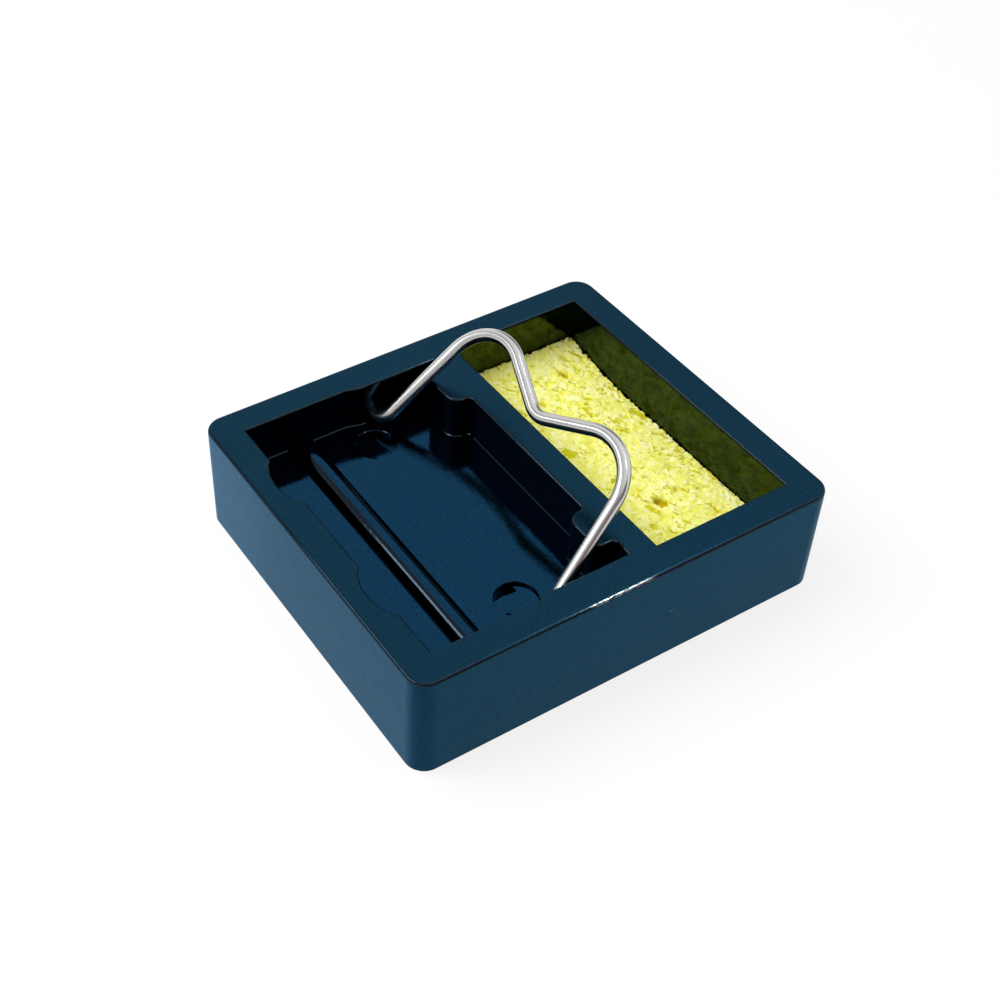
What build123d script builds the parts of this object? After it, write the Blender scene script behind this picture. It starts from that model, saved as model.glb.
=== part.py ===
"""Bench stand for a soldering iron: moulded base, fold-down wire rest, cleaning sponge.

Millimetres. The origin is the middle of the base's underside, +X runs from the tool well
to the sponge well, +Y to the back wall and +Z up.
"""
import os
from math import asin, atan2, cos, degrees, hypot, radians, sin

from build123d import *

# Base walls and wells
side_wall = 6.65
end_wall = 6.45
divider = 5.8
tool_well_length = 43.4
sponge_well_length = 31.0
well_width = 67.6
base_height = 23.9
tool_well_depth = 9.8
sponge_well_depth = 20.2
corner_radius = 4.0
rim_rounding = 0.7
lip_rounding = 0.45
floor_chamfer = 0.2

# Underside of the moulding
skirt = 3.0
tool_floor = 2.5
sponge_floor = 2.4
pocket_corner = 2.0

# Thickened pads that carry the wire's pivots
pad_thickness = 0.9
pad_left_of_pivot = 3.2
pad_slope = 3.0

# Bosses on the divider that the leaning legs rest against
boss_width = 9.8
boss_from_pad = 4.1
boss_reach = 4.1
boss_inner_corner = 3.0
boss_outer_corner = 1.8
boss_fillet = 0.8

# Ridge and moulded marks on the tool well's floor
ridge_radius = 2.87
ridge_height = 2.6
ridge_from_wall = 11.95
ridge_fillet = 0.35
mark_radius = 4.35
mark_depth = 0.7
mark_chamfer = 0.12
mark_from_divider = 18.2
back_mark_from_wall = 7.7
front_mark_from_wall = 9.55
mark_step_depth = 1.1
mark_step_edge = 2.1
mark_step_right = 1.6
dimple_radius = 1.0
back_dimple_angle = 239.0
front_dimple_angle = 214.0

# Wire rest, drawn in its own plane through the pivot axis
wire_diameter = 2.7
pivot_from_divider = 14.36
floor_gap = 0.3
pivot_clearance = 0.05
pivot_depth = 4.2
pin_end_gap = 0.3
pin_chamfer = 0.3
lean_angle = 46.0
foot_from_pad = 3.05
leg_splay = 5.6
peak_height = 34.3
valley_height = 22.7
foot_bend = 3.3
peak_bend = 9.9
valley_bend = 5.2
scallop_clearance = 0.7
ridge_gap = 0.15

# Cleaning sponge
sponge_thickness = 7.8
sponge_seat_gap = 0.2
sponge_back_gap = 0.45
sponge_front_gap = 1.0
sponge_right_gap = 0.35
sponge_left_gap = 3.0
sponge_curl_length = 23.8
sponge_curl_rise = 2.8

# Planes and stations worked out from the sizes above
base_length = 2 * side_wall + tool_well_length + divider + sponge_well_length
base_width = 2 * end_wall + well_width
tool_left = -base_length / 2 + side_wall
tool_right = tool_left + tool_well_length
sponge_left = tool_right + divider
sponge_right = sponge_left + sponge_well_length
boss_face = tool_right - boss_reach
tool_floor_top = base_height - tool_well_depth
sponge_floor_top = base_height - sponge_well_depth
well_half = well_width / 2
pad_face = well_half - pad_thickness
boss_center = pad_face - boss_from_pad - boss_width / 2
mark_x = tool_right - mark_from_divider
back_mark_y = well_half - back_mark_from_wall
front_mark_y = front_mark_from_wall - well_half
foot_half_span = pad_face - foot_from_pad
peak_half_span = foot_half_span - leg_splay
wire_radius = wire_diameter / 2
pivot_x = tool_right - pivot_from_divider
pivot_z = tool_floor_top + wire_radius + floor_gap
ridge_x = tool_left + ridge_from_wall
ridge_axis_z = tool_floor_top + ridge_height - ridge_radius
ridge_foot = ridge_radius + 2 * ridge_fillet

# Angle above level at which the folded legs lie on the ridge
ridge_distance = hypot(pivot_x - ridge_x, ridge_axis_z - pivot_z)
ridge_bearing = degrees(atan2(ridge_axis_z - pivot_z, pivot_x - ridge_x))
contact_angle = degrees(asin((ridge_radius + wire_radius + ridge_gap) / ridge_distance))
fold_angle = contact_angle + ridge_bearing

# Middle of each peak's bend, in the plane of the wire
leg_run = hypot(foot_half_span - peak_half_span, peak_height)
arm_run = hypot(peak_half_span, peak_height - valley_height)
leg_direction = Vector((foot_half_span - peak_half_span) / leg_run, -peak_height / leg_run)
arm_direction = Vector(-peak_half_span / arm_run, (valley_height - peak_height) / arm_run)
inward = (leg_direction + arm_direction).normalized()
half_bend = radians(leg_direction.get_angle(arm_direction) / 2)
bend_y = peak_half_span + inward.X * peak_bend / sin(half_bend)
bend_height = peak_height + inward.Y * peak_bend / sin(half_bend)
scallop_x = pivot_x - bend_height * cos(radians(fold_angle))
scallop_radius = peak_bend + wire_radius + scallop_clearance

rim_plane = Plane.XY.offset(base_height)
under_tool_floor = tool_floor_top - tool_floor
under_sponge_floor = sponge_floor_top - sponge_floor
tool_middle = (tool_left + tool_right) / 2
sponge_middle = (sponge_left + sponge_right) / 2

# Half-width of the window in which an outline's corners are picked
pick = 0.02

with BuildPart() as base:
    with BuildSketch():
        RectangleRounded(base_length, base_width, corner_radius)
    extrude(amount=base_height)
    fillet(base.edges().group_by(Axis.Z)[-1], rim_rounding)

    # Tool well in plan: scalloped left wall, pivot pads and the two bosses
    with BuildSketch(rim_plane) as tool_outline:
        with Locations((tool_middle, 0)):
            Rectangle(tool_well_length, well_width)
        with Locations((scallop_x, bend_y), (scallop_x, -bend_y)):
            Circle(scallop_radius)
        for side in (1, -1):
            with BuildLine():
                Polyline(
                    (pivot_x - pad_left_of_pivot - pad_slope, side * well_half),
                    (pivot_x - pad_left_of_pivot, side * pad_face),
                    (tool_right, side * pad_face),
                    (tool_right, side * well_half),
                    close=True,
                )
            make_face(mode=Mode.SUBTRACT)
        with Locations((tool_right, boss_center), (tool_right, -boss_center)):
            Rectangle(2 * boss_reach, boss_width, mode=Mode.SUBTRACT)
        for corners, radius in ((slice(1, 3), boss_inner_corner), (slice(0, None, 3), boss_outer_corner)):
            boss_tips = tool_outline.vertices().filter_by_position(
                Axis.X, boss_face - pick, boss_face + pick
            ).sort_by(Axis.Y)
            fillet(boss_tips[corners], radius)
        divider_corners = tool_outline.vertices().filter_by_position(
            Axis.X, tool_right - pick, tool_right + pick
        ).sort_by(Axis.Y)
        fillet(divider_corners[1:-1], boss_fillet)
    extrude(amount=-tool_well_depth, mode=Mode.SUBTRACT)
    tool_well_floor = base.faces().filter_by_position(
        Axis.Z, tool_floor_top - pick, tool_floor_top + pick
    )
    chamfer(tool_well_floor.edges(), floor_chamfer)

    with BuildSketch(rim_plane):
        with Locations((sponge_middle, 0)):
            Rectangle(sponge_well_length, well_width)
    extrude(amount=-sponge_well_depth, mode=Mode.SUBTRACT)

    # Rounded lips of both wells
    rim = base.faces().filter_by(Axis.Z).sort_by(Axis.Z)[-1]
    fillet([edge for loop in rim.inner_wires() for edge in loop.edges()], lip_rounding)

    # Half-round ridge that the folded legs lie on, with a small fillet along its feet
    with BuildSketch(Plane.XZ.offset(-well_half)) as ridge_profile:
        with Locations((ridge_x, ridge_axis_z)):
            Circle(ridge_radius)
        with Locations((ridge_x, tool_floor_top - tool_floor / 2)):
            Rectangle(2 * ridge_foot, tool_floor)
        feet = ridge_profile.vertices().filter_by_position(
            Axis.Z, tool_floor_top - pick, tool_floor_top + pick
        ).sort_by(Axis.X)
        fillet(feet[1:-1], ridge_fillet)
    extrude(amount=well_width)

    # Shallow round marks in the tool well's floor, each with a deeper step at its back and an edge dimple
    under_mark = Plane.XY.offset(tool_floor_top - mark_depth)
    for mark_y, dimple_angle in ((back_mark_y, back_dimple_angle), (front_mark_y, front_dimple_angle)):
        with BuildSketch(Plane.XY.offset(tool_floor_top)):
            with Locations((mark_x, mark_y)):
                Circle(mark_radius)
        extrude(amount=-mark_depth, mode=Mode.SUBTRACT)
        step_x = mark_x + (mark_step_right - mark_radius) / 2
        step_y = mark_y + (mark_radius + mark_step_edge) / 2
        with BuildSketch(under_mark):
            with Locations((mark_x, mark_y)):
                Circle(mark_radius)
            with Locations((step_x, step_y)):
                Rectangle(mark_radius + mark_step_right, mark_radius - mark_step_edge, mode=Mode.INTERSECT)
        extrude(amount=-mark_step_depth, mode=Mode.SUBTRACT)
        with BuildSketch(under_mark):
            with Locations((mark_x, mark_y)):
                Circle(mark_radius)
                with PolarLocations(mark_radius, 1, dimple_angle):
                    Circle(dimple_radius, mode=Mode.INTERSECT)
        extrude(amount=-mark_step_depth, mode=Mode.SUBTRACT)
    mark_circles = base.edges().filter_by(GeomType.CIRCLE).filter_by(
        lambda edge: abs(edge.radius - mark_radius) < pick
    )
    chamfer(mark_circles.group_by(Axis.Z)[-1], mark_chamfer)

    # Blind pivot holes in the pads
    for side in (1, -1):
        with BuildSketch(Plane.XZ.offset(-side * pad_face)):
            with Locations((pivot_x, pivot_z)):
                Circle(wire_radius + pivot_clearance)
        extrude(amount=-side * pivot_depth, mode=Mode.SUBTRACT)

    # Underside: a shallow recess inside the skirt and a deep pocket below the tool well
    with BuildSketch():
        RectangleRounded(base_length - 2 * skirt, base_width - 2 * skirt, pocket_corner)
    extrude(amount=under_sponge_floor, mode=Mode.SUBTRACT)
    pocket_left = -base_length / 2 + skirt
    pocket_right = sponge_left - skirt
    with BuildSketch():
        with Locations(((pocket_left + pocket_right) / 2, 0)):
            RectangleRounded(pocket_right - pocket_left, base_width - 2 * skirt, pocket_corner)
    extrude(amount=under_tool_floor, mode=Mode.SUBTRACT)

rest_plane = Plane(
    origin=(pivot_x, 0, pivot_z),
    x_dir=(0, 1, 0),
    z_dir=(cos(radians(lean_angle)), 0, -sin(radians(lean_angle))),
)
pin_tip = pad_face + pivot_depth - pin_end_gap

with BuildPart() as wire_rest:
    with BuildLine(rest_plane) as route:
        FilletPolyline(
            (-pin_tip, 0),
            (-foot_half_span, 0),
            (-peak_half_span, peak_height),
            (0, valley_height),
            (peak_half_span, peak_height),
            (foot_half_span, 0),
            (pin_tip, 0),
            radius=[foot_bend, peak_bend, valley_bend, peak_bend, foot_bend],
        )
    with BuildSketch(Plane(origin=route.line @ 0, z_dir=route.line % 0)):
        Circle(wire_radius)
    sweep(path=route.line)
    pin_ends = wire_rest.faces().sort_by(Axis.Y)
    chamfer(pin_ends[0].edges() + pin_ends[-1].edges(), pin_chamfer)

sponge_x = sponge_left + sponge_left_gap
sponge_width = sponge_right - sponge_right_gap - sponge_x
sponge_back = well_half - sponge_back_gap
sponge_front = -well_half + sponge_front_gap
sponge_bend = sponge_back - sponge_curl_length
sponge_bottom = sponge_floor_top + sponge_seat_gap
sponge_top = sponge_bottom + sponge_thickness

with BuildPart() as sponge:
    # Side view: flat in front, curling up toward the back wall
    with BuildSketch(Plane.YZ.offset(sponge_x)):
        with BuildLine():
            Line((sponge_front, sponge_top), (sponge_bend, sponge_top))
            top_back = (sponge_back, sponge_top + sponge_curl_rise)
            TangentArc((sponge_bend, sponge_top), top_back, tangent=(1, 0))
            bottom_back = (sponge_back, sponge_bottom + sponge_curl_rise)
            Line(top_back, bottom_back)
            TangentArc((sponge_bend, sponge_bottom), bottom_back, tangent=(1, 0))
            Line((sponge_bend, sponge_bottom), (sponge_front, sponge_bottom))
            Line((sponge_front, sponge_bottom), (sponge_front, sponge_top))
        make_face()
    extrude(amount=sponge_width)

os.makedirs("parts", exist_ok=True)
for piece, name in ((base, "base"), (wire_rest, "wire_rest"), (sponge, "sponge")):
    piece.part.label = name
    export_step(piece.part, f"parts/{name}.step")
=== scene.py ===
import math

import bpy
import numpy as np
from mathutils import Matrix, Vector, kdtree, noise


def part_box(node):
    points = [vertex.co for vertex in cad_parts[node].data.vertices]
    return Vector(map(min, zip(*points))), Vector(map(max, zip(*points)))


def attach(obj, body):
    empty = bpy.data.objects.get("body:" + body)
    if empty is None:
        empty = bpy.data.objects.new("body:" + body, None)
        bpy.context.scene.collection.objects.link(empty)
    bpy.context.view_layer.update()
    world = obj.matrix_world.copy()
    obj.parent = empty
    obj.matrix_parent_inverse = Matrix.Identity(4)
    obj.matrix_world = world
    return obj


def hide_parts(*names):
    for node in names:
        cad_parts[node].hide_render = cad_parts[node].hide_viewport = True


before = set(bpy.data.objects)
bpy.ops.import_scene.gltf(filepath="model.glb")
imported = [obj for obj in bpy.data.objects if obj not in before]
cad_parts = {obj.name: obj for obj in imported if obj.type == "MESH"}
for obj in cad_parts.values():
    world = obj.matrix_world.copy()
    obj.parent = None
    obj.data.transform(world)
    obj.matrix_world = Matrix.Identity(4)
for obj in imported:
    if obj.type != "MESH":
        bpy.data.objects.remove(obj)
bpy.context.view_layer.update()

MM = 0.001
scene = bpy.context.scene
scene.view_settings.view_transform = "Standard"

# Places on the base in metres. Each pair is a band that a mask fades over.
CORNER_AXIS_X = 0.04275
CORNER_AXIS_Y = 0.03625
# distance out from the axes of the rounded corners, which is 4 mm on the outer walls
OUTER_WALL = (0.0033, 0.0039)
RIM_HEIGHT = (0.0234, 0.0238)
LIP_HEIGHT = (0.0150, 0.0170)
LEFT_OUTER_WALL = (-0.0468, -0.0462)
# the band over which the left wall's painted reflection grows paler toward the back
LEFT_WALL_REFLECTION_BAND = (0.0, 0.042)
SPONGE_WELL_LEFT = (0.0086, 0.0092)
SPONGE_WELL_TOP = (0.0229, 0.0236)
DIVIDER_LEFT = (-0.0060, -0.0040)
DIVIDER_RIGHT = (0.0080, 0.0086)
DIVIDER_ENDS = (0.0318, 0.0325)
# where the painted glint lies on the front edge
GLINT_LEFT = (-0.0120, -0.0070)
GLINT_RIGHT = (0.0000, 0.0050)
GLINT_FRONT = (-0.0399, -0.0396)
GLINT_BOTTOM = (0.02348, 0.02358)
GLINT_TOP = (0.02382, 0.02389)

# Colours of the moulding. A pair is mixed by a noise.
BODY_COLOURS = ((0.0064, 0.0345, 0.0630), (0.0086, 0.0415, 0.0760))
WELL_FLOOR_COLOUR = (0.0068, 0.0410, 0.0900)
# painted shade on the walls inside the wells
WELL_WALL_PAINTED_SHADE = (0.0032, 0.0085, 0.0140)
OUTER_WALL_COLOUR = (0.0034, 0.0325, 0.0640)
# painted reflection on the left outer wall, paler toward the back
LEFT_FRONT_PAINTED_REFLECTION = (0.0085, 0.0500, 0.1020)
LEFT_BACK_PAINTED_REFLECTION = (0.0290, 0.0920, 0.1750)
# olive tint that paints the sponge's reflection on its well, mottled
SPONGE_REFLECTION_TINTS = ((0.020, 0.027, 0.004), (0.043, 0.058, 0.007))
# painted shade on seams and outer edges, painted highlight on lips
SEAM_PAINTED_SHADE = (0.018, 0.023, 0.028)
LIP_PAINTED_HIGHLIGHT = (0.042, 0.050, 0.058)
OUTER_EDGE_PAINTED_SHADE = (0.018, 0.030, 0.042)
# the painted glint on the front edge
PAINTED_GLINT_COLOUR = (0.86, 0.88, 0.90)
DUST_COLOUR = (0.30, 0.32, 0.34)
REFLECTION_TINT = (0.68, 0.86, 1.0, 1.0)

# Colours of the wire, and the painted shade on its flank that looks down
PLATING_COLOURS = ((0.60, 0.60, 0.59), (0.70, 0.70, 0.69))
UNDERSIDE_PAINTED_SHADE = (0.13, 0.105, 0.07)
PAINTED_SHADE_SIDE = (-0.62, -0.20, -0.76)

# Colours of the sponge with its painted highlight and painted shade, and how its cells are turned and
# drawn out
FOAM_COLOURS = ((0.86, 0.85, 0.15), (0.90, 0.90, 0.27))
# painted highlight on the raised crumbs, and painted shade in their low parts
FOAM_PAINTED_HIGHLIGHT = (0.95, 0.95, 0.50)
FOAM_LOW_PAINTED_SHADE = (0.66, 0.64, 0.02)
# painted shade in the hollows, cracks and pits
FOAM_HOLLOW_PAINTED_SHADE = (0.62, 0.58, 0.0)
FOAM_CRACK_PAINTED_SHADE = (0.50, 0.465, 0.0)
FOAM_SHALLOW_PIT_PAINTED_SHADE = (0.66, 0.61, 0.01)
FOAM_DEEP_PIT_PAINTED_SHADE = (0.52, 0.39, 0.006)
CELL_TURN = math.radians(-62)
CELL_STRETCH = (2.0, 1.0, 1.0)

# The larger pits in the top of the sponge: x, y and radius in mm, and depth as a share of the radius
LARGER_PITS = (
    (25.9, -15.9, 1.25, 1.30),
    (24.1, -19.3, 1.00, 0.30),
    (20.4, -20.8, 0.80, 0.75),
    (34.7, -8.5, 1.50, 0.18),
    (31.1, -12.8, 0.70, 0.40),
    (32.2, 25.0, 0.85, 1.20),
    (34.9, 29.2, 0.95, 0.40),
    (23.3, 20.1, 0.80, 0.80),
    (24.0, 3.0, 0.80, 0.40),
)
LARGER_PIT_STRETCH = 1.25
LARGER_PIT_TURN = 0.4

# The floor, in metres, and the lamps' distance from the stand
FLOOR_REACH = 3
FLOOR_DROP = 0.0001
PAPER_COLOUR = (0.86, 0.86, 0.86, 1)
PAPER_WHITE_SHARE = 0.80
LAMP_DISTANCE = 0.70

# The camera, fitted to the photo: angles in degrees, place in mm
SENSOR_WIDTH = 36.0
FOCAL_PIXELS = 1629.7
PHOTO_PIXELS = 1000
CAMERA_SHIFT = 0.1083
CAMERA_AZIMUTH = 31.73
CAMERA_ELEVATION = 43.85
CAMERA_PLACE = (-142.5, -186.6, 236.6)


def new_material(name):
    material = bpy.data.materials.new(name)
    material.use_nodes = True
    tree = material.node_tree
    tree.nodes.clear()
    out = tree.nodes.new("ShaderNodeOutputMaterial")
    shader = tree.nodes.new("ShaderNodeBsdfPrincipled")
    tree.links.new(shader.outputs["BSDF"], out.inputs["Surface"])
    return material, tree, shader


def add(tree, kind, inputs=None, **settings):
    """A new node with its settings made and its inputs linked or filled in."""
    node = tree.nodes.new(kind)
    for key, value in settings.items():
        setattr(node, key, value)
    for key, value in (inputs or {}).items():
        socket = node.inputs[key]
        if isinstance(value, bpy.types.NodeSocket):
            tree.links.new(value, socket)
        else:
            socket.default_value = value
    return node


def math_node(tree, operation, a, b=None, clamp=False):
    inputs = {0: a} if b is None else {0: a, 1: b}
    return add(tree, "ShaderNodeMath", inputs, operation=operation, use_clamp=clamp).outputs[0]


def product(tree, first, *factors):
    for factor in factors:
        first = math_node(tree, "MULTIPLY", first, factor)
    return first


def scaled_sum(tree, *terms):
    """Sum of (socket, weight) pairs."""
    total = None
    for socket, weight in terms:
        part = product(tree, socket, weight)
        total = part if total is None else math_node(tree, "ADD", total, part)
    return total


def from_level(tree, level, *terms):
    """A level plus the sum of (socket, weight) pairs."""
    return math_node(tree, "ADD", level, scaled_sum(tree, *terms))


def opposite(tree, mask):
    return math_node(tree, "SUBTRACT", 1.0, mask)


def beyond(tree, value, start):
    """How far a value lies past start on either side of 0, and 0 short of it."""
    excess = math_node(tree, "SUBTRACT", math_node(tree, "ABSOLUTE", value), start)
    return math_node(tree, "MAXIMUM", excess, 0.0)


def vector_node(tree, operation, inputs, output="Vector"):
    return add(tree, "ShaderNodeVectorMath", inputs, operation=operation).outputs[output]


def split(tree, vector):
    node = add(tree, "ShaderNodeSeparateXYZ", {"Vector": vector})
    return [node.outputs[axis] for axis in "XYZ"]


def grey(value):
    return (value, value, value)


def object_coordinates(tree):
    return add(tree, "ShaderNodeTexCoord").outputs["Object"]


def noise_texture(tree, vector, scale, detail=2.0, roughness=0.5, distortion=0.0):
    inputs = {
        "Vector": vector,
        "Scale": scale,
        "Detail": detail,
        "Roughness": roughness,
        "Distortion": distortion,
    }
    return add(tree, "ShaderNodeTexNoise", inputs).outputs["Fac"]


def step_mask(tree, value, low, high, start=0.0, end=1.0):
    """start below low, end above high, smooth between."""
    inputs = {"Value": value, "From Min": low, "From Max": high, "To Min": start, "To Max": end}
    node = add(tree, "ShaderNodeMapRange", inputs, interpolation_type="SMOOTHSTEP")
    return node.outputs["Result"]


def fall_mask(tree, value, low, high):
    """1 below low, 0 above high."""
    return step_mask(tree, value, low, high, 1.0, 0.0)


def blend(tree, factor, first, second):
    return add(tree, "ShaderNodeMix", {"Factor": factor, "A": first, "B": second}).outputs[0]


def blend_colour(tree, factor, first, second):
    first, second = ((*c, 1.0) if isinstance(c, tuple) else c for c in (first, second))
    inputs = {"Factor": factor, 6: first, 7: second}
    return add(tree, "ShaderNodeMix", inputs, data_type="RGBA").outputs[2]


def set_bump(tree, shader, height, strength, distance):
    inputs = {"Height": height, "Strength": strength, "Distance": distance}
    bump = add(tree, "ShaderNodeBump", inputs)
    tree.links.new(bump.outputs["Normal"], shader.inputs["Normal"])


def make_moulding():
    """Near-black blue moulding: polished wells, a duller grained rim and satin outer walls."""
    material, tree, shader = new_material("moulding")
    place = object_coordinates(tree)
    x, y, z = split(tree, place)
    x_out = beyond(tree, x, CORNER_AXIS_X)
    y_out = beyond(tree, y, CORNER_AXIS_Y)
    squares = math_node(tree, "ADD", product(tree, x_out, x_out), product(tree, y_out, y_out))
    outer = step_mask(tree, math_node(tree, "SQRT", squares), *OUTER_WALL)
    inside = opposite(tree, outer)
    rim = step_mask(tree, z, *RIM_HEIGHT)
    sponge_well = product(
        tree, step_mask(tree, x, *SPONGE_WELL_LEFT), fall_mask(tree, z, *SPONGE_WELL_TOP), inside
    )

    # how far a face looks up or down: rounded edges lie between the walls and the level faces
    facing = split(tree, add(tree, "ShaderNodeNewGeometry").outputs["Normal"])
    level = math_node(tree, "ABSOLUTE", facing[2])
    rounded = product(tree, step_mask(tree, level, 0.06, 0.25), fall_mask(tree, level, 0.90, 0.985))
    well_wall = product(tree, fall_mask(tree, level, 0.10, 0.35), inside)
    well_floor = product(tree, opposite(tree, rim), inside)

    soft = noise_texture(tree, place, 60.0, 3.0, 0.55)
    fine = noise_texture(tree, place, 1400.0, 2.0, 0.6)
    grain = noise_texture(tree, place, 2600.0, 2.0, 0.6)
    mottle = noise_texture(tree, place, 330.0, 4.0, 0.65, 0.5)

    colour = blend_colour(tree, soft, *BODY_COLOURS)
    colour = blend_colour(tree, well_floor, colour, WELL_FLOOR_COLOUR)
    colour = blend_colour(tree, outer, colour, OUTER_WALL_COLOUR)
    # painted reflection: the left outer wall is paler, more so toward the back
    left_wall = fall_mask(tree, x, *LEFT_OUTER_WALL)
    toward_back = step_mask(tree, y, *LEFT_WALL_REFLECTION_BAND)
    colour = blend_colour(
        tree, left_wall, colour, blend_colour(tree, toward_back, LEFT_FRONT_PAINTED_REFLECTION, LEFT_BACK_PAINTED_REFLECTION)
    )
    # painted shade darkens the walls inside the wells
    colour = blend_colour(tree, well_wall, colour, WELL_WALL_PAINTED_SHADE)
    # a mottled olive tint paints the sponge's reflection on the sponge well
    sponge_reflection_tint = blend_colour(tree, step_mask(tree, mottle, 0.32, 0.68), *SPONGE_REFLECTION_TINTS)
    colour = blend_colour(tree, sponge_well, colour, sponge_reflection_tint)
    # painted highlight on the lips, and painted shade on the seams low in the wells and on the outer
    # edges
    painted_edge_light = blend_colour(tree, step_mask(tree, z, *LIP_HEIGHT), SEAM_PAINTED_SHADE, LIP_PAINTED_HIGHLIGHT)
    painted_edge_light = blend_colour(tree, outer, painted_edge_light, OUTER_EDGE_PAINTED_SHADE)
    colour = blend_colour(tree, product(tree, rounded, 0.8), colour, painted_edge_light)
    speckle = step_mask(tree, grain, 0.3, 0.7, 0.80, 1.20)
    colour = vector_node(tree, "SCALE", {0: colour, "Scale": speckle})
    # a painted glint on the front edge left of its middle, in a broken line along the edge
    along_edge = add(tree, "ShaderNodeMapping", {"Vector": place, "Scale": (800.0, 3000.0, 3000.0)})
    dashes = noise_texture(tree, along_edge.outputs["Vector"], 1.0, 2.0, 0.6)
    painted_glint = product(
        tree,
        step_mask(tree, x, *GLINT_LEFT),
        fall_mask(tree, x, *GLINT_RIGHT),
        fall_mask(tree, y, *GLINT_FRONT),
        step_mask(tree, z, *GLINT_BOTTOM),
        fall_mask(tree, z, *GLINT_TOP),
        step_mask(tree, dashes, 0.40, 0.53),
    )
    colour = blend_colour(tree, painted_glint, colour, PAINTED_GLINT_COLOUR)
    # sparse dust
    dust = add(tree, "ShaderNodeTexVoronoi", {"Vector": place, "Scale": 210.0}).outputs
    chosen = step_mask(tree, split(tree, dust["Color"])[0], 0.90, 0.905)
    speck = product(tree, fall_mask(tree, dust["Distance"], 0.020, 0.035), chosen)
    colour = blend_colour(tree, speck, colour, DUST_COLOUR)
    tree.links.new(colour, shader.inputs["Base Color"])

    polish = from_level(tree, 0.05, (soft, 0.05), (fine, 0.04))
    duller = from_level(tree, 0.17, (fine, 0.12))
    satin = from_level(tree, 0.33, (fine, 0.10))
    # the divider's wall and bosses are duller than the other walls
    dull_wall = product(
        tree,
        well_wall,
        fall_mask(tree, x, *DIVIDER_RIGHT),
        step_mask(tree, x, *DIVIDER_LEFT),
        fall_mask(tree, math_node(tree, "ABSOLUTE", y), *DIVIDER_ENDS),
    )
    rough = blend(tree, dull_wall, polish, 0.45)
    rough = blend(tree, rim, rough, duller)
    rough = blend(tree, outer, rough, satin)
    rough = blend(tree, rounded, rough, 0.06)
    tree.links.new(rough, shader.inputs["Roughness"])
    shader.inputs["Metallic"].default_value = 1.0
    shader.inputs["Specular Tint"].default_value = REFLECTION_TINT

    waves = noise_texture(tree, place, 120.0, 2.0, 0.5)
    peel = noise_texture(tree, place, 700.0, 2.0, 0.5)
    height = scaled_sum(tree, (waves, 0.9), (peel, 0.28), (grain, 0.10))
    depth = from_level(tree, 0.25, (rounded, -0.13))
    set_bump(tree, shader, height, strength=depth, distance=0.0002)
    return material


def make_wire():
    """Plated steel wire, faintly scuffed."""
    material, tree, shader = new_material("wire")
    place = object_coordinates(tree)
    soft = noise_texture(tree, place, 180.0, 3.0, 0.6)
    fine = noise_texture(tree, place, 2600.0, 2.0, 0.6)
    colour = blend_colour(tree, soft, *PLATING_COLOURS)
    # painted shade darkens the flank that looks down to the left
    facing = add(tree, "ShaderNodeTexCoord").outputs["Normal"]
    below = tuple(Vector(PAINTED_SHADE_SIDE).normalized())
    share = vector_node(tree, "DOT_PRODUCT", {0: facing, 1: below}, "Value")
    colour = blend_colour(tree, step_mask(tree, share, 0.30, 0.62), colour, UNDERSIDE_PAINTED_SHADE)
    tree.links.new(colour, shader.inputs["Base Color"])
    shader.inputs["Metallic"].default_value = 1.0
    rough = from_level(tree, 0.15, (soft, 0.09), (fine, 0.05))
    tree.links.new(rough, shader.inputs["Roughness"])
    set_bump(tree, shader, fine, strength=0.02, distance=0.0001)
    return material


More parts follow.
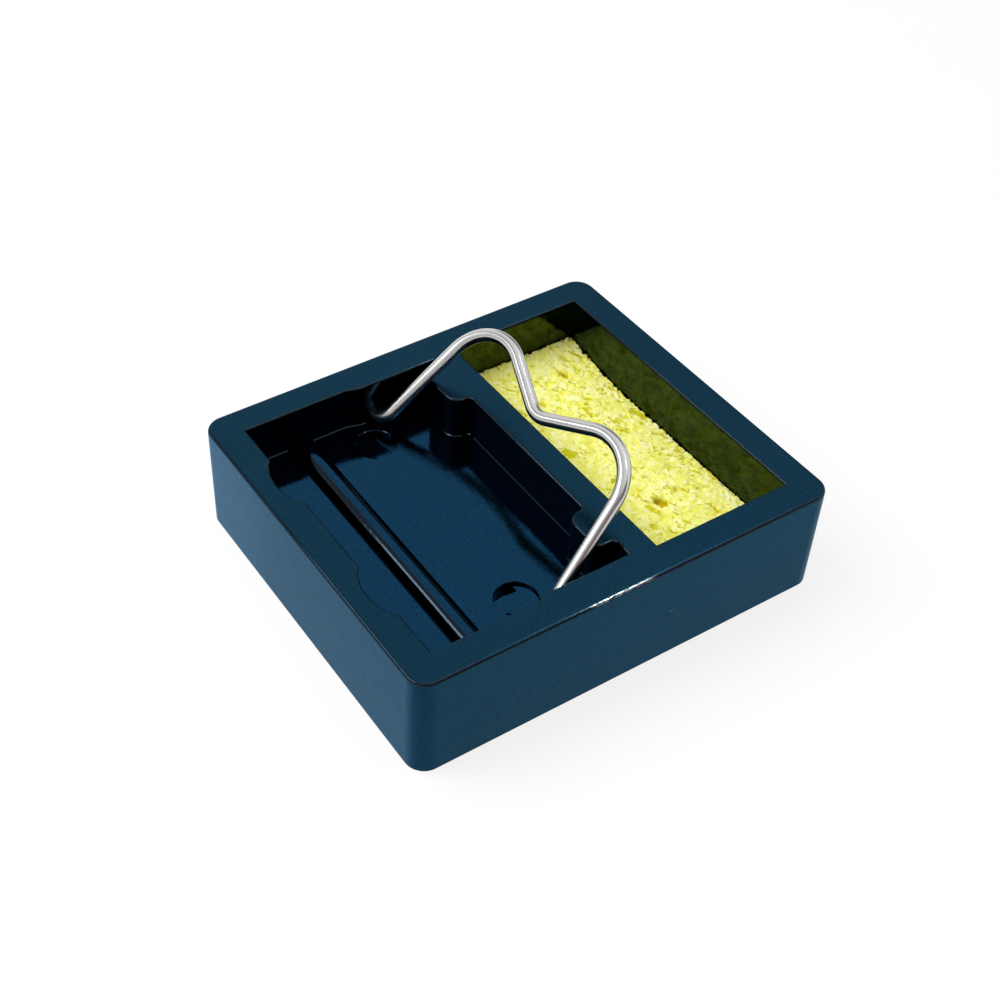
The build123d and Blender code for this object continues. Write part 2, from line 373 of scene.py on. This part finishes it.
def make_foam():
    """Dry cellulose sponge: a pale painted highlight on the raised crumbs of the cut face, and painted
    shade that is yellower in low parts, yellow in hollows, olive in cracks and golden in pits.
    """
    material, tree, shader = new_material("foam")
    place = object_coordinates(tree)
    cavity = add(tree, "ShaderNodeAttribute", attribute_name="cavity").outputs["Fac"]
    blotch = noise_texture(tree, place, 260.0, 4.0, 0.62, 0.6)
    crumb = noise_texture(tree, place, 560.0, 4.0, 0.58, 1.2)
    fibre = noise_texture(tree, place, 3600.0, 3.0, 0.65)

    # the cells are drawn out along the pad and wander a little
    wander = add(tree, "ShaderNodeTexNoise", {"Vector": place, "Scale": 700.0, "Detail": 2.0})
    wander = vector_node(tree, "SUBTRACT", {0: wander.outputs["Color"], 1: grey(0.5)})
    wander = vector_node(tree, "SCALE", {0: wander, "Scale": 0.0011})
    strayed = vector_node(tree, "ADD", {0: place, 1: wander})
    drawn_out = add(
        tree,
        "ShaderNodeMapping",
        {"Vector": strayed, "Rotation": (0, 0, CELL_TURN), "Scale": CELL_STRETCH},
        vector_type="TEXTURE",
    ).outputs["Vector"]

    hollow = noise_texture(tree, drawn_out, 650.0, 3.0, 0.58, 0.5)
    hollows = fall_mask(tree, hollow, 0.35, 0.405)
    dents = fall_mask(tree, hollow, 0.32, 0.40)
    crack = noise_texture(tree, drawn_out, 1350.0, 2.0, 0.55, 0.6)
    cracks = fall_mask(tree, crack, 0.31, 0.38)
    # painted shade where the crumbs lie low
    low_crumb_shade = fall_mask(tree, crumb, 0.36, 0.46)
    shallow = step_mask(tree, cavity, 0.12, 0.40)
    deep = step_mask(tree, cavity, 0.40, 0.75)
    colour = blend_colour(tree, step_mask(tree, blotch, 0.40, 0.60), *FOAM_COLOURS)
    # painted highlight on the raised crumbs
    colour = blend_colour(tree, step_mask(tree, crumb, 0.48, 0.68), colour, FOAM_PAINTED_HIGHLIGHT)
    # painted shade in the low crumbs, hollows, cracks and pits
    for mask, share, tone in (
        (low_crumb_shade, 0.35, FOAM_LOW_PAINTED_SHADE),
        (hollows, 0.97, FOAM_HOLLOW_PAINTED_SHADE),
        (cracks, 0.95, FOAM_CRACK_PAINTED_SHADE),
        (shallow, 0.8, FOAM_SHALLOW_PIT_PAINTED_SHADE),
    ):
        colour = blend_colour(tree, product(tree, mask, share), colour, tone)
    colour = blend_colour(tree, deep, colour, FOAM_DEEP_PIT_PAINTED_SHADE)
    tree.links.new(colour, shader.inputs["Base Color"])
    shader.inputs["Roughness"].default_value = 0.92
    shader.inputs["Specular IOR Level"].default_value = 0.2
    relief = scaled_sum(tree, (crumb, 0.65), (fibre, 0.16), (dents, -0.45))
    set_bump(tree, shader, relief, strength=0.65, distance=0.0004)
    return material


def make_paper():
    """White floor paper. Seen directly or mirrored, it is mostly plain white with a light shadow."""
    material, tree, shader = new_material("paper")
    shader.inputs["Base Color"].default_value = PAPER_COLOUR
    shader.inputs["Roughness"].default_value = 0.9
    shader.inputs["Specular IOR Level"].default_value = 0.0
    path = add(tree, "ShaderNodeLightPath").outputs
    seen = math_node(tree, "ADD", path["Is Camera Ray"], path["Is Glossy Ray"])
    seen = math_node(tree, "ADD", seen, path["Is Transmission Ray"], clamp=True)
    white = add(tree, "ShaderNodeEmission", {"Color": (1, 1, 1, 1), "Strength": 1.0})
    share = product(tree, seen, PAPER_WHITE_SHARE)
    both = add(tree, "ShaderNodeMixShader", {0: share, 1: shader.outputs[0], 2: white.outputs[0]})
    tree.links.new(both.outputs[0], tree.nodes["Material Output"].inputs["Surface"])
    return material


def block_grid(nx, ny, nz):
    """Six gridded faces of a block, welded where they meet: grid points and faces."""
    points = {}
    faces = []

    def face(*corners):
        faces.append([points.setdefault(corner, len(points)) for corner in corners])

    for i in range(nx):
        for j in range(ny):
            face((i, j, nz), (i + 1, j, nz), (i + 1, j + 1, nz), (i, j + 1, nz))
            face((i, j, 0), (i, j + 1, 0), (i + 1, j + 1, 0), (i + 1, j, 0))
    for j in range(ny):
        for k in range(nz):
            face((nx, j, k), (nx, j + 1, k), (nx, j + 1, k + 1), (nx, j, k + 1))
            face((0, j, k), (0, j, k + 1), (0, j + 1, k + 1), (0, j + 1, k))
    for i in range(nx):
        for k in range(nz):
            face((i, ny, k), (i, ny, k + 1), (i + 1, ny, k + 1), (i + 1, ny, k))
            face((i, 0, k), (i + 1, 0, k), (i + 1, 0, k + 1), (i, 0, k + 1))
    return list(points), faces


def build_sponge():
    """A cut block of sponge, curled up at the back, with open pits and ragged edges. Lengths in mm."""
    low, high = (np.array(corner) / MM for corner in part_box("sponge"))
    curl_length = 23.8
    curl_rise = 2.8
    inset = 0.06
    pitch = 0.25
    # the soft edges lean on the right and back walls of the well
    lean_right = 0.32
    lean_back = 0.40
    high += np.array([lean_right, lean_back, 0])
    size = high - low - 2 * inset
    size[2] -= curl_rise
    counts = [max(2, int(round(s / pitch))) for s in size]
    points, faces = block_grid(*counts)
    grid = np.array(points, float) / np.array(counts, float)
    place = low + inset + grid * size

    # outward direction, blended over the edges
    edge_blend = 0.6
    outward = np.zeros_like(place)
    for axis in range(3):
        from_low = grid[:, axis] * size[axis]
        from_high = (1 - grid[:, axis]) * size[axis]
        outward[:, axis] += np.clip(1 - from_high / edge_blend, 0, 1)
        outward[:, axis] -= np.clip(1 - from_low / edge_blend, 0, 1)
    outward /= np.maximum(np.linalg.norm(outward, axis=1), 1e-6)[:, None]

    # eased, ragged edges
    edge_reach = 0.9
    least_sink = 0.02
    rag_depth = 2.0
    rag_start = 0.22
    rag_most = 0.7
    to_sides = [np.minimum(grid[:, a], 1 - grid[:, a]) * size[a] for a in range(3)]
    nearness = np.sort(np.stack(to_sides, axis=1), axis=1)[:, 1]
    rag = np.array(
        [noise.noise(Vector(p) * 1.1) + 0.9 * noise.noise(Vector(p) * 3.1) for p in place]
    )
    eased = np.clip(1 - nearness / edge_reach, 0, 1) ** 2
    sink = eased * (least_sink + rag_depth * np.clip(rag - rag_start, 0, rag_most))

    # open cells
    pit_seed = 41
    rng = np.random.default_rng(pit_seed)
    tree = kdtree.KDTree(len(place))
    for index, p in enumerate(place):
        tree.insert(Vector(p), index)
    tree.balance()
    pits = np.zeros(len(place))
    outline_waver = 0.35

    def pit(centre_id, radius, depth_share, stretch, turn):
        """A round or drawn-out hollow with a wavering outline."""
        c = place[centre_id]
        n = outward[centre_id]
        helper = np.array([0, 0, 1.0]) if abs(n[2]) < 0.8 else np.array([1.0, 0, 0])
        u = np.cross(helper, n)
        u /= np.linalg.norm(u)
        w = np.cross(n, u)
        cos, sin = math.cos(turn), math.sin(turn)
        u, w = u * cos + w * sin, w * cos - u * sin
        for co, index, _ in tree.find_range(Vector(c), radius * stretch * 1.4):
            d = np.array(co) - c
            waver = 1 + outline_waver * noise.noise(Vector(co) * 1.6)
            r = math.hypot((d @ u) / stretch, d @ w) / radius * waver
            if r < 1:
                pits[index] = max(pits[index], radius * depth_share * math.sqrt(1 - r * r))

    pit_count = 2600
    small_share = 0.97
    small_radius = (0.30, 0.45)
    medium_radius = (0.45, 0.7)
    for centre_id in rng.integers(0, len(place), pit_count):
        small = rng.random() < small_share
        radius = rng.uniform(*small_radius) if small else rng.uniform(*medium_radius)
        depth_share = rng.uniform(0.3, 0.7)
        stretch = rng.uniform(1.0, 2.0)
        pit(centre_id, radius, depth_share, stretch, rng.uniform(0, math.pi))
    top = low[2] + inset + size[2]
    for x, y, radius, depth_share in LARGER_PITS:
        centre_id = tree.find(Vector((x, y, top)))[1]
        pit(centre_id, radius, depth_share, LARGER_PIT_STRETCH, LARGER_PIT_TURN)

    # an uneven face, calmer on the underside
    lump_depth = 0.12
    fine_depth = 0.05
    underside_calm = 0.7
    lumps = np.array([noise.fractal(Vector(p) * 0.5, 0.8, 2.1, 4) for p in place])
    fine = np.array([noise.noise(Vector(p) * 2.6) for p in place])
    sink += pits + lump_depth * np.clip(lumps + 0.3, 0, 1.2) + fine_depth * np.abs(fine)
    sink *= 1 - underside_calm * np.clip(-outward[:, 2], 0, 1)
    place = place - outward * sink[:, None]

    # the back end curls up
    bend = high[1] - lean_back - curl_length
    curl_radius = (curl_length**2 + curl_rise**2) / (2 * curl_rise)
    along = np.clip(place[:, 1] - bend, 0, None)
    place[:, 2] += curl_radius - np.sqrt(curl_radius**2 - along**2)

    mesh = bpy.data.meshes.new("sponge_pad")
    mesh.from_pydata([tuple(p * MM) for p in place], [], faces)
    attribute = mesh.attributes.new("cavity", "FLOAT", "POINT")
    attribute.data.foreach_set("value", np.clip(pits, 0, 1).astype(np.float32))
    mesh.shade_smooth()
    mesh.update()
    pad = bpy.data.objects.new("sponge_pad", mesh)
    scene.collection.objects.link(pad)
    return pad


def make_studio():
    """White surroundings, darker on the left, with dark places that the glossy faces mirror."""
    world = bpy.data.worlds.new("studio")
    scene.world = world
    world.use_nodes = True
    tree = world.node_tree
    tree.nodes.clear()
    way = add(tree, "ShaderNodeTexCoord").outputs["Generated"]

    def toward(direction, wide, narrow):
        aim = tuple(Vector(direction).normalized())
        reach = vector_node(tree, "DOT_PRODUCT", {0: way, 1: aim}, "Value")
        return step_mask(tree, reach, math.cos(math.radians(wide)), math.cos(math.radians(narrow)))

    across, _, up = split(tree, way)
    raised = step_mask(tree, up, 0.04, 0.12)
    colour = blend_colour(tree, step_mask(tree, across, -0.55, 0.05), grey(0.60), grey(0.90))
    # darker places in the room: beyond the right end, beside the window, and behind the camera
    for direction, wide, narrow, shade in (
        ((0.80, 0.55, 0.20), 27, 18, grey(0.10)),
        ((-0.36, 0.59, 0.72), 17, 9, grey(0.40)),
        ((0.05, -0.98, 0.16), 32, 16, (0.50, 0.42, 0.47)),
        ((-0.30, -0.84, 0.45), 27, 14, (0.22, 0.16, 0.18)),
        ((0.38, -0.85, 0.36), 22, 12, grey(0.10)),
    ):
        mask = product(tree, toward(direction, wide, narrow), raised)
        colour = blend_colour(tree, mask, colour, shade)
    back = add(tree, "ShaderNodeBackground", {"Color": colour, "Strength": 1.0})
    add(tree, "ShaderNodeOutputWorld", {"Surface": back.outputs[0]})


def softbox(name, direction, width, length, radiance):
    """A rectangular lamp of a given brightness, facing the stand, its length nearest to the Y axis."""
    lamp = bpy.data.lights.new(name, "AREA")
    lamp.shape = "RECTANGLE"
    lamp.size = width
    lamp.size_y = length
    # an area lamp's radiance is its power over pi times its area
    lamp.energy = radiance * math.pi * width * length
    holder = bpy.data.objects.new(name, lamp)
    scene.collection.objects.link(holder)
    aim = Vector(direction).normalized()
    along = (Vector((0, 1, 0)) - aim * aim.y).normalized()
    turn = Matrix((along.cross(aim), along, aim)).transposed()
    holder.matrix_world = Matrix.Translation(aim * LAMP_DISTANCE) @ turn.to_4x4()
    return holder


def make_camera():
    """A camera at the photo's viewing angle."""
    data = bpy.data.cameras.new("view")
    data.sensor_fit = "HORIZONTAL"
    data.sensor_width = SENSOR_WIDTH
    data.lens = SENSOR_WIDTH * FOCAL_PIXELS / PHOTO_PIXELS
    data.shift_x = CAMERA_SHIFT
    data.clip_start = 0.01
    data.clip_end = 20
    camera = bpy.data.objects.new("view", data)
    scene.collection.objects.link(camera)
    azimuth = math.radians(CAMERA_AZIMUTH)
    elevation = math.radians(CAMERA_ELEVATION)
    level_part = math.cos(elevation)
    ahead = Vector(
        (math.sin(azimuth) * level_part, math.cos(azimuth) * level_part, -math.sin(elevation))
    )
    side = ahead.cross(Vector((0, 0, 1))).normalized()
    above = side.cross(ahead)
    turn = Matrix((side, above, -ahead)).transposed()
    camera.matrix_world = Matrix.Translation(Vector(CAMERA_PLACE) * MM) @ turn.to_4x4()
    scene.camera = camera


moulding = make_moulding()
wire = make_wire()
foam = make_foam()

for node, material in (("base", moulding), ("wire_rest", wire)):
    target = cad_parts[node]
    if not target.material_slots:
        target.data.materials.append(material)
    for slot in target.material_slots:
        slot.material = material

pad = build_sponge()
pad.data.materials.append(foam)
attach(pad, "sponge")
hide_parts("sponge")

floor_mesh = bpy.data.meshes.new("floor")
r = FLOOR_REACH
floor_mesh.from_pydata([(-r, -r, 0), (r, -r, 0), (r, r, 0), (-r, r, 0)], [], [(0, 1, 2, 3)])
floor = bpy.data.objects.new("floor", floor_mesh)
scene.collection.objects.link(floor)
floor.location.z = -FLOOR_DROP
floor.data.materials.append(make_paper())

make_studio()
# the key lamp gives soft light from the back left and no mirrored square on the glossy faces
softbox("key", (-0.40, 0.35, 0.85), width=0.42, length=0.42, radiance=5.8).visible_glossy = False
softbox("window", (-0.68, 0.24, 0.68), width=0.15, length=0.56, radiance=4.5)
# a thin tube only glints on the edges and the wire
softbox("tube", (0.455, -0.03, 0.89), width=0.02, length=0.50, radiance=14.0).visible_diffuse = False
make_camera()
